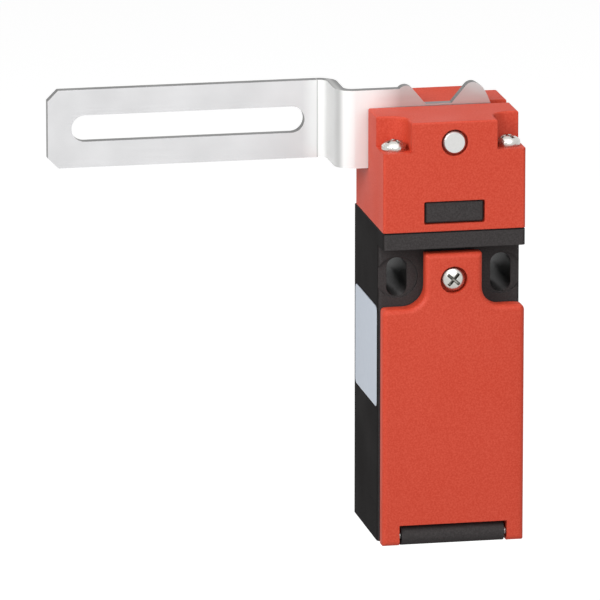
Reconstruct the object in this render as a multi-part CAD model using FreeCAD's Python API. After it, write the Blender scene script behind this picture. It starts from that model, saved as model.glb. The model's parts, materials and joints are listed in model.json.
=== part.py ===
import FreeCAD, Part
import math
import os

from FreeCAD import Vector

# Hinge switch with a cranked lever. Millimetres. X is right, Y runs back to the mounting face
# at Y = 0, Z is up, and Z = 0 is the height of the two fixing slots.

# Outer sizes
width = 30.0                # case, cover and head, side to side
depth = 30.0                # front face to mounting face
seat_height = 66.8          # where the head sits, above the bottom edge
head_height = 23.4
head_depth = 28.4           # the head stops short of the mounting face
pivot_drop = 4.5            # pivot axis below the top of the head

# Clearances
shaft_gap = 0.05            # radial, a shaft in its bore
sliding_gap = 0.3           # between pieces that pass each other
seat_gap = 0.15             # round a piece dropped into a recess
cam_gap = 0.2               # hub edge to plunger nose
contact_gap = 0.1           # between contacts that are only just open or closed
swing_gap = 0.55            # radial, round the cover screw as it swings out
over = 1.0                  # how far a cutting body runs past the face it cuts

# Case
case_recess = 5.5           # lugs and rim stand back from the front face by this
flange_height = 3.3         # top flange under the head
lug_height = 12.7           # from the cover's shoulders up to the flange
fixing_drop = 7.0           # fixing slots below the flange
fixing_edge = 4.0           # fixing slots in from the sides
fixing_width = 4.3
fixing_length = 8.3
spotface_radius = 4.4
spotface_depth = 0.4
case_wall = 2.2
rear_wall = 2.5
bottom_wall = 8.0
top_wall = 6.8
case_corner = 0.8
cavity_corner = 2.0
cavity_drop = 1.8           # cavity roof below the cover's shoulders
neck_width = 9.0            # passage above the cavity for the plunger
boss_depth = 7.7            # block behind the lugs' front that takes the cover screw
entry_radius = 7.25         # tapping drill of the conduit entry
entry_chamfer = 0.8
entry_set_back = 12.5       # conduit entry in front of the mounting face

# Cover
cover_lift = 0.2            # above the bottom edge
tongue_half = 6.0
tongue_gap = 1.2            # below the flange
tongue_round = 0.5
tongue_corner = 4.0         # where the tongue meets the shoulders
shoulder_corner = 1.3
foot_corner = 0.3
cover_edge = 1.1            # rounding along the front edges
cover_front_wall = 2.0
cover_side_wall = 2.4
cover_inside_corner = 1.5
rim_gap = 0.35              # dark line between cover and case
leg_width = 3.6             # either side of the hinge notch
notch_height = 4.6
screw_drop = 6.9            # cover screw below the flange
screw_recess_radius = 2.9
screw_recess_depth = 2.4
rib_width = 1.2
rib_height = 1.0
seal_width = 1.2
seal_inset = 0.6
seal_groove = 0.8

# Cover hinge
knuckle_gap = 0.5           # at each end, to the cover's legs
knuckle_radius = 2.0
hinge_from_front = 2.2
hinge_pin_radius = 0.8
hinge_pin_cover = 1.6       # leg left over the ends of the pin
leg_round = 2.8             # lower rear corner of the legs, about the hinge axis

# Head
head_corner = 0.6
head_edge = 0.4
head_seam = 0.35            # height of the foot, which shows as a dark seam over the flange
head_foot_inset = 0.8
pocket_width = 6.0
pocket_depth = 7.4
pocket_drop = 6.3           # pocket floor below the head's top
pocket_corner = 3.6
crown_half = 9.0            # raised strip behind the slot
crown_height = 1.5
crown_corner = 0.5
crown_set_in = 1.0          # in front of the head's rear face
slot_front = 15.6           # lever slot, from the front face
slot_width = 3.2
pin_recess_radius = 2.8
pin_recess_depth = 1.5
plug_half = 6.15
plug_low = 2.1              # above the head's seat
plug_height = 4.3
plug_thickness = 1.3
plug_set_in = 0.2
plug_corner = 0.4
plug_chamfer = 0.3
plug_gap = 0.25             # dark line round the plug
head_screw_edge = 3.0       # head screws in from the sides
head_screw_y = 3.9          # from the front face
head_seal_inset = 3.0
head_seal_width = 1.4
head_seal_depth = 0.8
head_seal_corner = 3.0

# Lever
plate = 2.0                 # thickness of the steel
arm_width = 16.5
lever_front = 16.0          # front of the hub plate, from the front face
crank_x = 21.5              # outer face of the cranked part, left of the pivot
bend_inside = 1.8
bar_end = 80.2              # left end of the bar, from the pivot
bar_chamfer = 2.2
bar_slot_near = 26.0
bar_slot_far = 75.2
bar_slot_width = 5.6
pin_radius = 2.4
pin_length = 25.9
pin_chamfer = 0.3
pin_set_in = 0.1

# Hub edge: it works as the cam
swing = 130.0               # degrees that the lever turns
stroke = 2.6                # plunger travel in that swing
cam_stand = 1.35            # lowest part of the hub's edge, out from the arm's edge
lobe_stand = 3.5            # lobes, out from the arm's edge
lobe_round = 1.8
notch_rise = 0.35           # notch floor above the head's top
notch_floor_half = 2.75
notch_flank = 50.0          # degrees from the horizontal
spiral_points = 18

# Plunger
plunger_radius = 2.5
nose_width = 3.0
plunger_seal_radius = 4.5
plunger_seal_height = 2.0

# Contact block
block_side_gap = 1.3        # to the cavity's walls
block_front = 11.6          # behind the front face
block_height = 30.0
block_drop = 2.0            # below the cavity's roof
block_corner = 1.0
block_floor = 1.5
chamber_side_wall = 4.5
chamber_front = 13.6        # behind the front face
chamber_depth = 7.8
chamber_end_wall = 3.0
terminal_edge = 3.3         # terminals in from the block's sides
terminal_width = 6.0
terminal_height = 7.0
terminal_recess = 2.4
strip = 0.8                 # thickness of the fixed contacts
strip_width = 2.4

# Contact carrier and bridges
carrier_half = 2.6
carrier_depth = 6.0
carrier_corner = 0.6
carrier_reach = 5.0         # above the block
carrier_length = 26.6
nc_drop = 9.9               # top of the closed bridge below the block's top
bridge_apart = 7.8          # down to the underside of the open bridge
bridge_depth = 3.2
bridge_thickness = 0.7
bridge_end_gap = 0.7
window_height = 3.0
tip_inset = 1.1             # contact tips in from the bridge's ends
tip_radius = 1.1
tip_height = 0.5

# Springs
bridge_coil = 1.2
bridge_wire = 0.35
bridge_turns = 3.0
return_coil = 2.2
return_wire = 0.6
return_turns = 5.0

# Screws
m3_radius = 1.5
m3_head_radius = 2.6
m3_head_height = 2.2
m3_head_chamfer = 0.6
m3_free_gap = 0.2           # radial, in the head's through holes
cover_screw_radius = 1.75
cover_screw_head = 2.4
cover_screw_set_in = 0.4
cover_screw_bite = 4.0      # length inside the case
terminal_screw_length = 6.0
terminal_head_height = 1.8
terminal_head_chamfer = 0.3
clamp_thickness = 1.0
clamp_margin = 0.3
clamp_corner = 0.5
block_screw_head = 2.2
block_screw_sink = 2.0
screw_end_gap = 0.2         # left beyond the end of a blind screw
skin = 0.7                  # left under a blind screw hole in the rear wall

# Label
label_set_back = 1.1        # behind the front of the case
label_width = 22.0
label_height = 21.4
label_drop = 0.8            # below the cover's shoulders
label_thickness = 0.2
label_corner = 1.2

# Planes and levels
side = width / 2
front = -depth
fixing_height = seat_height - flange_height - fixing_drop
bottom = -fixing_height
seat = bottom + seat_height
flange_low = seat - flange_height
shoulder = flange_low - lug_height
cavity_top = shoulder - cavity_drop
case_front = front + case_recess
cavity_rear = -rear_wall
cavity_half = side - case_wall
fixing_x = side - fixing_edge
cover_rear = case_front - rim_gap
cover_screw_z = flange_low - screw_drop
notch_half = side - leg_width
notch_top = bottom + notch_height
knuckle_half = notch_half - knuckle_gap
hinge_y = front + hinge_from_front
hinge_z = bottom + knuckle_radius
hinge_pin_half = side - hinge_pin_cover
head_top = seat + head_height
head_rear = front + head_depth
pivot_z = head_top - pivot_drop
head_screw_x = side - head_screw_edge
slot_y0 = front + slot_front
slot_y1 = slot_y0 + slot_width
plate_y0 = front + lever_front
plate_y1 = plate_y0 + plate
arm_half = arm_width / 2
cam_low = arm_half + cam_stand
lobe_radius = arm_half + lobe_stand
notch_floor = pivot_drop + notch_rise
cam_high = cam_low + stroke
cam_rate = stroke / math.radians(swing)
hub_space = cam_low + cam_rate * math.radians(180) + sliding_gap
plunger_y = (slot_y0 + slot_y1) / 2
nose_depth = slot_width - 2 * sliding_gap
block_half = cavity_half - block_side_gap
block_y = front + block_front
block_top = cavity_top - block_drop
block_low = block_top - block_height
chamber_half = block_half - chamber_side_wall
chamber_low = block_low + chamber_end_wall
chamber_top = block_top - chamber_end_wall
terminal_x = block_half - terminal_edge
terminal_y = block_y + terminal_recess
bridge_half = chamber_half - bridge_end_gap
tip_x = bridge_half - tip_inset
carrier_top = block_top + carrier_reach
carrier_low = carrier_top - carrier_length
nc_level = block_top - nc_drop
no_level = nc_level - bridge_apart
block_screw_x = (chamber_half + block_half) / 2
block_screw_z = (nc_level + no_level) / 2


def box(x0, x1, y0, y1, z0, z1):
    return Part.makeBox(x1 - x0, y1 - y0, z1 - z0, Vector(x0, y0, z0))


def rod_x(radius, x0, x1, y, z):
    return Part.makeCylinder(radius, x1 - x0, Vector(x0, y, z), Vector(1, 0, 0))


def rod_y(radius, y0, y1, x, z):
    return Part.makeCylinder(radius, y1 - y0, Vector(x, y0, z), Vector(0, 1, 0))


def rod_z(radius, z0, z1, x, y):
    return Part.makeCylinder(radius, z1 - z0, Vector(x, y, z0), Vector(0, 0, 1))


def fuse(shapes):
    return shapes[0].multiFuse(shapes[1:]).removeSplitter()


def cut(shape, tools):
    return shape.cut(tools[0].multiFuse(tools[1:]))


def mirror_x(shape):
    return shape.mirror(Vector(0, 0, 0), Vector(1, 0, 0))


def pair(shape):
    return Part.makeCompound([shape, mirror_x(shape)])


# Closed outline from corners (u, v, radius); a corner with a radius becomes a tangent arc
def outline(corners, place):
    starts = []
    ends = []
    arcs = []
    count = len(corners)
    for i in range(count):
        point = Vector(corners[i][0], corners[i][1], 0)
        radius = corners[i][2]
        before = Vector(corners[i - 1][0], corners[i - 1][1], 0)
        after = Vector(corners[(i + 1) % count][0], corners[(i + 1) % count][1], 0)
        if radius <= 0:
            starts.append(point)
            ends.append(point)
            arcs.append(None)
            continue
        toward = (before - point).normalize()
        away = (after - point).normalize()
        half = toward.getAngle(away) / 2
        reach = radius / math.tan(half)
        middle = (toward + away).normalize() * (radius / math.sin(half) - radius)
        starts.append(point + toward * reach)
        ends.append(point + away * reach)
        arcs.append(point + middle)
    edges = []
    for i in range(count):
        if arcs[i] is not None:
            edges.append(Part.Arc(place(starts[i]), place(arcs[i]), place(ends[i])).toShape())
        following = starts[(i + 1) % count]
        if (following - ends[i]).Length > 1e-6:
            edges.append(Part.makeLine(place(ends[i]), place(following)))
    return Part.Face(Part.Wire(Part.__sortEdges__(edges)))


# Corners are (x, z, radius)
def plate_y(corners, y0, y1):
    face = outline(corners, lambda p: Vector(p.x, y0, p.y))
    return face.extrude(Vector(0, y1 - y0, 0))


# Corners are (x, y, radius)
def plate_z(corners, z0, z1):
    face = outline(corners, lambda p: Vector(p.x, p.y, z0))
    return face.extrude(Vector(0, 0, z1 - z0))


# Corners are (y, z, radius)
def plate_x(corners, x0, x1):
    face = outline(corners, lambda p: Vector(x0, p.x, p.y))
    return face.extrude(Vector(x1 - x0, 0, 0))


def rectangle(u0, u1, v0, v1, radius):
    return [(u0, v0, radius), (u1, v0, radius), (u1, v1, radius), (u0, v1, radius)]


# Straight slot with full round ends, cut along Y
def slot_y(x0, x1, z0, z1, y0, y1):
    radius = min(x1 - x0, z1 - z0) / 2
    middle_x = (x0 + x1) / 2
    middle_z = (z0 + z1) / 2
    if x1 - x0 > z1 - z0:
        ends = [(x0 + radius, middle_z), (x1 - radius, middle_z)]
        body = box(x0 + radius, x1 - radius, y0, y1, z0, z1)
    else:
        ends = [(middle_x, z0 + radius), (middle_x, z1 - radius)]
        body = box(x0, x1, y0, y1, z0 + radius, z1 - radius)
    return fuse([body] + [rod_y(radius, y0, y1, x, z) for x, z in ends])


# Coil spring of square wire between two levels
def coil(radius, wire, turns, z0, z1, y):
    half = wire / 2
    rise = z1 - z0 - wire
    helix = Part.makeHelix(rise / turns, rise, radius)
    corners = [Vector(radius + u * half, 0, v * half) for u, v in ((-1, -1), (1, -1), (1, 1), (-1, 1))]
    section = Part.makePolygon(corners + corners[:1])
    spring = Part.Wire(helix).makePipeShell([section], True, True)
    spring.translate(Vector(0, y, z0 + half))
    return spring


# Case: one moulding, made as a floor with the entry and the upper part with the lugs
def case_block(z0, z1):
    return plate_z(rectangle(-side, side, case_front, 0, case_corner), z0, z1)


def knuckle():
    barrel = rod_x(knuckle_radius, -knuckle_half, knuckle_half, hinge_y, hinge_z)
    low = hinge_z - knuckle_radius
    high = hinge_z + knuckle_radius
    web = box(-knuckle_half, knuckle_half, hinge_y, case_front + case_corner, low, high)
    pin = rod_x(hinge_pin_radius, -knuckle_half, knuckle_half, hinge_y, hinge_z)
    return fuse([barrel, web]).cut(pin)


def conduit_entry():
    y = -entry_set_back
    bore = rod_z(entry_radius, bottom - over, bottom + bottom_wall + over, 0, y)
    wide = entry_radius + entry_chamfer
    lead = Part.makeCone(wide, entry_radius, entry_chamfer, Vector(0, y, bottom), Vector(0, 0, 1))
    return fuse([bore, lead])


def housing_floor():
    return fuse([case_block(bottom, bottom + bottom_wall), knuckle()]).cut(conduit_entry())


def case_hollow():
    low = bottom + bottom_wall
    corners = [(-cavity_half, low - over, 0), (cavity_half, low - over, 0)]
    corners += [(cavity_half, cavity_top, cavity_corner), (-cavity_half, cavity_top, cavity_corner)]
    cavity = plate_y(corners, case_front - over, cavity_rear)
    neck_y = case_front + boss_depth
    half = neck_width / 2
    neck = box(-half, half, neck_y, cavity_rear, cavity_top - over, seat - top_wall)
    return fuse([cavity, neck])


def fixing_slot():
    half = fixing_width / 2
    reach = fixing_length / 2
    through = slot_y(fixing_x - half, fixing_x + half, -reach, reach, case_front - over, over)
    spotface = rod_y(spotface_radius, case_front - over, case_front + spotface_depth, fixing_x, 0)
    return fuse([through, spotface])


def label_outline(gap):
    y0 = case_front + label_set_back - gap
    z1 = shoulder - label_drop + gap
    y1 = y0 + label_width + 2 * gap
    z0 = z1 - label_height - 2 * gap
    return rectangle(y0, y1, z0, z1, label_corner)


def head_seal_ring():
    low = seat - head_seal_depth
    outer = head_seal_inset
    inner = outer + head_seal_width
    corner = head_seal_corner
    ring = plate_z(rectangle(-side + outer, side - outer, case_front + outer, -outer, corner), low, seat)
    hole = rectangle(-side + inner, side - inner, case_front + inner, -inner, corner - head_seal_width)
    return ring.cut(plate_z(hole, low, seat))


def housing_body():
    flange_rear = case_front + 2 * case_corner
    flange = plate_z(rectangle(-side, side, front, flange_rear, case_corner), flange_low, seat)
    body = fuse([case_block(bottom + bottom_wall, seat), flange])
    tools = [case_hollow(), fixing_slot(), mirror_x(fixing_slot()), head_seal_ring()]
    tools.append(plate_x(label_outline(seat_gap), -side - over, -side + label_thickness))
    bore = plunger_radius + shaft_gap
    tools.append(rod_z(bore, seat - top_wall - over, seat + over, 0, plunger_y))
    tools.append(rod_z(plunger_seal_radius, seat - plunger_seal_height, seat + over, 0, plunger_y))
    deep = case_front + cover_screw_bite + screw_end_gap
    tools.append(rod_y(cover_screw_radius + swing_gap, case_front - over, deep, 0, cover_screw_z))
    for x in (-head_screw_x, head_screw_x):
        tools.append(rod_z(m3_radius, flange_low - over, seat + over, x, front + head_screw_y))
    for x in (-block_screw_x, block_screw_x):
        tools.append(rod_y(m3_radius, cavity_rear - over, -skin, x, block_screw_z))
    return cut(body, tools)


# Cover, its seal, screw and hinge pin
def cover_outline(inset, low):
    half = side - inset
    shoulder_z = shoulder - inset
    tongue = tongue_half - inset
    top = flange_low - tongue_gap - inset
    outer = max(shoulder_corner - inset, foot_corner)
    right = [(half, low, foot_corner), (half, shoulder_z, outer)]
    right += [(tongue, shoulder_z, tongue_corner + inset), (tongue, top, tongue_round)]
    left = [(-u, v, r) for u, v, r in reversed(right)]
    return right + left


def seal_frame(y0, y1):
    outer = seal_inset
    inner = seal_inset + seal_width
    frame = plate_y(cover_outline(outer, notch_top + outer), y0, y1)
    return frame.cut(plate_y(cover_outline(inner, notch_top + inner), y0, y1))


def cover_blank():
    low = bottom + cover_lift
    blank = plate_y(cover_outline(0, low), front, cover_rear)
    rim = []
    for edge in blank.Edges:
        on_front = all(abs(v.Point.y - front) < 1e-6 for v in edge.Vertexes)
        if on_front and edge.BoundBox.ZMax > low + foot_corner + over:
            rim.append(edge)
    return blank.makeFillet(cover_edge, rim)


# Under the hinge axis the legs end in an arc about that axis, so that they turn clear of the case
def leg_trim():
    block = box(-side - over, side + over, hinge_y, cover_rear + over, bottom - over, hinge_z)
    radius = min(leg_round, cover_rear - hinge_y)
    return block.cut(rod_x(radius, -side - over, side + over, hinge_y, hinge_z))


def front_cover():
    low = notch_top + cover_side_wall
    high = shoulder - cover_side_wall
    half = side - cover_side_wall
    inside_y = front + cover_front_wall
    hollow = rectangle(-half, half, low, high, cover_inside_corner)
    tools = [plate_y(hollow, inside_y, cover_rear + over), leg_trim()]
    tools.append(seal_frame(cover_rear - seal_groove, cover_rear + over))
    notch_low = bottom - over
    tools.append(box(-notch_half, notch_half, front - over, cover_rear + over, notch_low, notch_top))
    recess_rear = front + screw_recess_depth
    tools.append(rod_y(screw_recess_radius, front - over, recess_rear, 0, cover_screw_z))
    tools.append(rod_y(cover_screw_radius, front, cover_rear + over, 0, cover_screw_z))
    pin_half = hinge_pin_half + screw_end_gap
    tools.append(rod_x(hinge_pin_radius + shaft_gap, -pin_half, pin_half, hinge_y, hinge_z))
    pieces = [cut(cover_blank(), tools)]
    for x in (-half / 3, half / 3):
        x0 = x - rib_width / 2
        pieces.append(box(x0, x0 + rib_width, inside_y, inside_y + rib_height, low, high))
    return fuse(pieces)


def cover_seal():
    return seal_frame(cover_rear - seal_groove, case_front)


# Rims that lie in the plane Y = y
def rims_at_y(shape, y):
    return [e for e in shape.Edges if abs(e.BoundBox.YMin - y) + abs(e.BoundBox.YMax - y) < 1e-5]


def cover_screw():
    y0 = front + cover_screw_set_in
    y1 = front + screw_recess_depth
    head = rod_y(cover_screw_head, y0, y1, 0, cover_screw_z)
    head = head.makeChamfer(m3_head_chamfer, rims_at_y(head, y0))
    shank = rod_y(cover_screw_radius, y1, case_front + cover_screw_bite, 0, cover_screw_z)
    return fuse([head, shank])


def cover_hinge_pin():
    return rod_x(hinge_pin_radius, -hinge_pin_half, hinge_pin_half, hinge_y, hinge_z)


# Head
def corner_pocket():
    x0 = side - pocket_width
    x1 = side + over
    y0 = front - over
    y1 = front + pocket_depth
    plan = [(x0, y0, 0), (x1, y0, 0), (x1, y1, 0), (x0, y1, pocket_corner)]
    return plate_z(plan, head_top - pocket_drop, head_top + over)


# The block stands on a foot set in all round, so a dark line shows above the flange
def head_blank():
    foot_top = seat + head_seam
    blank = plate_z(rectangle(-side, side, front, head_rear, head_corner), foot_top, head_top)
    pocket = corner_pocket()
    blank = cut(blank, [pocket, mirror_x(pocket)])
    top = [e for e in blank.Edges if e.BoundBox.ZMin > head_top - 1e-5]
    blank = blank.makeFillet(head_edge, top)
    x = side - head_foot_inset
    y0 = front + head_foot_inset
    y1 = head_rear - head_foot_inset
    foot = plate_z(rectangle(-x, x, y0, y1, head_corner), seat, foot_top)
    return fuse([blank, foot, crown()])


# Raised strip behind the slot: it climbs from the slot to the rear, with bevelled ends
def crown():
    foot = crown_half + crown_height
    crown_z = head_top + crown_height
    rear = head_rear - crown_set_in
    low = head_top - over
    ends = [(-foot, low, 0), (foot, low, 0), (foot, head_top, 0)]
    ends += [(crown_half, crown_z, crown_corner), (-crown_half, crown_z, crown_corner), (-foot, head_top, 0)]
    climb = [(slot_y1, low, 0), (rear, low, 0), (rear, crown_z, crown_corner), (slot_y1, head_top, 0)]
    return plate_y(ends, slot_y1, rear).common(plate_x(climb, -foot, foot))


def lever_space():
    low = pivot_z - arm_half - sliding_gap
    high = head_top + crown_height + over
    sides = box(-side - over, side + over, slot_y0, slot_y1, low, high)
    return fuse([sides, rod_y(hub_space, slot_y0, slot_y1, 0, pivot_z)])


def plug_outline(gap):
    low = seat + plug_low - gap
    half = plug_half + gap
    return rectangle(-half, half, low, low + plug_height + 2 * gap, plug_corner)


def head_housing():
    tools = [lever_space()]
    plug_rear = front + plug_set_in + plug_thickness
    tools.append(plate_y(plug_outline(plug_gap), front - over, plug_rear))
    bore_end = front + pin_length + screw_end_gap
    tools.append(rod_y(pin_radius + shaft_gap, front - over, bore_end, 0, pivot_z))
    tools.append(rod_y(pin_recess_radius, front - over, front + pin_recess_depth, 0, pivot_z))
    tools.append(rod_z(plunger_radius + shaft_gap, seat - over, pivot_z - cam_low, 0, plunger_y))
    for x in (-head_screw_x, head_screw_x):
        tools.append(rod_z(m3_radius + m3_free_gap, seat - over, head_top, x, front + head_screw_y))
    return cut(head_blank(), tools)


def head_seal():
    return head_seal_ring()


def head_screw():
    floor = head_top - pocket_drop
    y = front + head_screw_y
    top = floor + m3_head_height
    head = rod_z(m3_head_radius, floor, top, head_screw_x, y)
    rim = [e for e in head.Edges if e.BoundBox.ZMin > top - 1e-5]
    head = head.makeChamfer(m3_head_chamfer, rim)
    shank = rod_z(m3_radius, flange_low + screw_end_gap, floor, head_screw_x, y)
    return fuse([head, shank])


def head_screws():
    return pair(head_screw())


def head_plug():
    y0 = front + plug_set_in
    plug = plate_y(plug_outline(0), y0, y0 + plug_thickness)
    return plug.makeChamfer(plug_chamfer, rims_at_y(plug, y0))


# Lever and pivot pin
def polar(radius, degrees):
    angle = math.radians(degrees)
    return Vector(radius * math.cos(angle), plate_y0, pivot_z + radius * math.sin(angle))


# Corner of a lobe: where the notch flank, carried on, meets the lobe's radius
def lobe_corner():
    slope = math.radians(notch_flank)
    along = notch_floor_half * math.cos(slope) + notch_floor * math.sin(slope)
    start = notch_floor_half ** 2 + notch_floor ** 2
    length = math.sqrt(along ** 2 - start + lobe_radius ** 2) - along
    return notch_floor_half + length * math.cos(slope), notch_floor + length * math.sin(slope)


# Working edge of the hub: radius = lowest radius + rate * turn, from straight below the pivot
def cam_spiral():
    points = []
    for i in range(spiral_points):
        turn = swing * i / (spiral_points - 1)
        points.append(polar(cam_low + cam_rate * math.radians(turn), turn - 90))
    curve = Part.BSplineCurve()
    curve.interpolate(points)
    return curve.toShape(), points[0], points[-1]


# Arc about the pivot between two points, through a middle radius
def hub_arc(start, end, radius):
    a = math.atan2(start.z - pivot_z, start.x)
    b = math.atan2(end.z - pivot_z, end.x)
    return Part.Arc(start, polar(radius, math.degrees(a + b) / 2), end).toShape()


# Edge of the hub: arm, low arc, spiral, then the two lobes with the notch between them
def hub_plate():
    spiral, low_point, high_point = cam_spiral()
    lobe_x, lobe_z = lobe_corner()
    left = -crank_x + bend_inside + plate
    y = plate_y0
    arm_low = Vector(-math.sqrt(cam_low ** 2 - arm_half ** 2), y, pivot_z - arm_half)
    arm_top = Vector(-math.sqrt(lobe_radius ** 2 - arm_half ** 2), y, pivot_z + arm_half)
    right_lobe = Vector(lobe_x, y, pivot_z + lobe_z)
    left_lobe = Vector(-lobe_x, y, pivot_z + lobe_z)
    floor_right = Vector(notch_floor_half, y, pivot_z + notch_floor)
    floor_left = Vector(-notch_floor_half, y, pivot_z + notch_floor)
    corner_low = Vector(left, y, pivot_z - arm_half)
    corner_top = Vector(left, y, pivot_z + arm_half)
    edges = [Part.makeLine(corner_low, arm_low), hub_arc(arm_low, low_point, cam_low), spiral]
    edges.append(hub_arc(high_point, right_lobe, (cam_high + lobe_radius) / 2))
    edges.append(Part.makeLine(right_lobe, floor_right))
    edges.append(Part.makeLine(floor_right, floor_left))
    edges.append(Part.makeLine(floor_left, left_lobe))
    edges.append(hub_arc(left_lobe, arm_top, lobe_radius))
    edges.append(Part.makeLine(arm_top, corner_top))
    edges.append(Part.makeLine(corner_top, corner_low))
    hub = Part.Face(Part.Wire(edges)).extrude(Vector(0, plate, 0))
    tips = []
    for edge in hub.Edges:
        across = edge.BoundBox.YLength > plate / 2
        if across and abs(edge.BoundBox.ZMin - right_lobe.z) + edge.BoundBox.ZLength < 1e-4:
            tips.append(edge)
    return hub.makeFillet(lobe_round, tips)


# Top view of the bent strip: arm, crank back to the mounting plane, bar
def bent_strip():
    bar_front = -plate
    outside = bend_inside + plate
    right = -crank_x + outside + over
    inner = -crank_x + plate
    corners = [(right, plate_y0, 0), (-crank_x, plate_y0, outside), (-crank_x, bar_front, bend_inside)]
    corners += [(-bar_end, bar_front, 0), (-bar_end, 0, 0)]
    corners += [(inner, 0, outside), (inner, plate_y1, bend_inside), (right, plate_y1, 0)]
    return plate_z(corners, pivot_z - arm_half, pivot_z + arm_half)


def bar_corner(sign):
    tip = Vector(-bar_end, -plate - over, pivot_z + sign * arm_half)
    along = tip + Vector(bar_chamfer, 0, 0)
    across = tip - Vector(0, 0, sign * bar_chamfer)
    face = Part.Face(Part.makePolygon([tip, along, across, tip]))
    return face.extrude(Vector(0, plate + 2 * over, 0))


def operating_lever():
    lever = fuse([hub_plate(), bent_strip()])
    half = bar_slot_width / 2
    low = pivot_z - half
    tools = [slot_y(-bar_slot_far, -bar_slot_near, low, low + bar_slot_width, -plate - over, over)]
    tools.append(rod_y(pin_radius, plate_y0 - over, plate_y1 + over, 0, pivot_z))
    tools += [bar_corner(1), bar_corner(-1)]
    return cut(lever, tools)


def pivot_pin():
    y0 = front + pin_set_in
    y1 = front + pin_length
    pin = rod_y(pin_radius, y0, y1, 0, pivot_z)
    return pin.makeChamfer(pin_chamfer, rims_at_y(pin, y0) + rims_at_y(pin, y1))


# Plunger and its seal
def cam_plunger():
    tip = pivot_z - cam_low - cam_gap
    shoulder_z = pivot_z - hub_space - sliding_gap
    radius = nose_width / 2
    y0 = plunger_y - nose_depth / 2
    blade = box(-radius, radius, y0, y0 + nose_depth, shoulder_z - over, tip - radius)
    shaft = rod_z(plunger_radius, carrier_top, shoulder_z, 0, plunger_y)
    return fuse([shaft, blade, rod_y(radius, y0, y0 + nose_depth, 0, tip - radius)])


def plunger_seal():
    low = seat - plunger_seal_height
    ring = rod_z(plunger_seal_radius, low, seat, 0, plunger_y)
    return ring.cut(rod_z(plunger_radius + shaft_gap, low, seat, 0, plunger_y))


# Contact carrier, bridges and springs
def carrier_window(low):
    half = bridge_depth / 2 + seat_gap
    x = carrier_half + over
    return box(-x, x, plunger_y - half, plunger_y + half, low, low + window_height)


def contact_carrier():
    half = carrier_depth / 2
    plan = rectangle(-carrier_half, carrier_half, plunger_y - half, plunger_y + half, carrier_corner)
    stem = plate_z(plan, carrier_low, carrier_top)
    return cut(stem, [carrier_window(nc_level - window_height), carrier_window(no_level)])


def bridge(low, tip_low):
    half = bridge_depth / 2
    bar = box(-bridge_half, bridge_half, plunger_y - half, plunger_y + half, low, low + bridge_thickness)
    tips = [rod_z(tip_radius, tip_low, tip_low + tip_height, x, plunger_y) for x in (-tip_x, tip_x)]
    return fuse([bar] + tips)


def nc_bridge():
    return bridge(nc_level - bridge_thickness, nc_level)


def no_bridge():
    return bridge(no_level, no_level - tip_height)


def nc_bridge_spring():
    low = nc_level - window_height
    return coil(bridge_coil, bridge_wire, bridge_turns, low, nc_level - bridge_thickness, plunger_y)


def no_bridge_spring():
    high = no_level + window_height
    return coil(bridge_coil, bridge_wire, bridge_turns, no_level + bridge_thickness, high, plunger_y)


def return_spring():
    low = block_low + block_floor
    return coil(return_coil, return_wire, return_turns, low, carrier_low, plunger_y)


# Contact block with its terminals. The upper pair of contacts lies above the closed bridge and
# the lower pair far enough below the open one for the stroke
def strip_low(upper):
    if upper:
        return nc_level + 2 * tip_height + contact_gap
    return no_level - 2 * tip_height - stroke - contact_gap - strip


def pad_low(upper):
    if upper:
        return strip_low(True)
    return strip_low(False) + strip - terminal_height


# Pad behind the terminal screw, with a leg bent back from it under the bridge's end
def contact_form(upper, gap):
    low = strip_low(upper)
    x0 = terminal_x - terminal_width / 2 - gap
    pad_z = pad_low(upper) - gap
    pad_high = pad_z + terminal_height + 2 * gap
    pad = box(x0, x0 + terminal_width + 2 * gap, terminal_y - strip, terminal_y, pad_z, pad_high)
    leg_x = tip_x - strip_width / 2 - gap
    leg_end = plunger_y + bridge_depth / 2 + gap
    high = low + strip + gap
    leg = box(leg_x, leg_x + strip_width + 2 * gap, terminal_y - strip, leg_end, low - gap, high)
    return fuse([pad, leg])


def terminal_space(upper):
    x0 = terminal_x - terminal_width / 2 - seat_gap
    low = pad_low(upper) - seat_gap
    high = low + terminal_height + 2 * seat_gap
    mouth = box(x0, block_half + over, block_y - over, terminal_y, low, high)
    middle = pad_low(upper) + terminal_height / 2
    end = terminal_y + terminal_screw_length
    screw = rod_y(m3_radius + seat_gap, block_y, end, terminal_x, middle)
    return fuse([mouth, contact_form(upper, seat_gap), screw])


def contact_block():
    plan = rectangle(-block_half, block_half, block_low, block_top, block_corner)
    block = plate_y(plan, block_y, cavity_rear)
    y0 = front + chamber_front
    y1 = y0 + chamber_depth
    tools = [box(-chamber_half, chamber_half, y0, y1, chamber_low, chamber_top)]
    x = carrier_half + sliding_gap
    half = carrier_depth / 2 + sliding_gap
    high = block_top + over
    tools.append(box(-x, x, plunger_y - half, plunger_y + half, chamber_top - over, high))
    spring_room = return_coil + return_wire
    tools.append(rod_z(spring_room, block_low + block_floor, chamber_low + over, 0, plunger_y))
    for upper in (True, False):
        tools += [terminal_space(upper), mirror_x(terminal_space(upper))]
    for x in (-block_screw_x, block_screw_x):
        tools.append(rod_y(m3_radius, block_y - over, 0, x, block_screw_z))
        sink_end = block_y + block_screw_sink
        sink = block_screw_head + sliding_gap
        tools.append(rod_y(sink, block_y - over, sink_end, x, block_screw_z))
    return cut(block, tools)


def fixed_contact(upper):
    low = strip_low(upper)
    middle = pad_low(upper) + terminal_height / 2
    hole = rod_y(m3_radius + shaft_gap, terminal_y - strip, terminal_y, terminal_x, middle)
    tip_low = low - tip_height if upper else low + strip
    tip = rod_z(tip_radius, tip_low, tip_low + tip_height, tip_x, plunger_y)
    return fuse([contact_form(upper, 0), tip]).cut(hole)


def nc_contacts():
    return pair(fixed_contact(True))


def no_contacts():
    return pair(fixed_contact(False))


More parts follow.
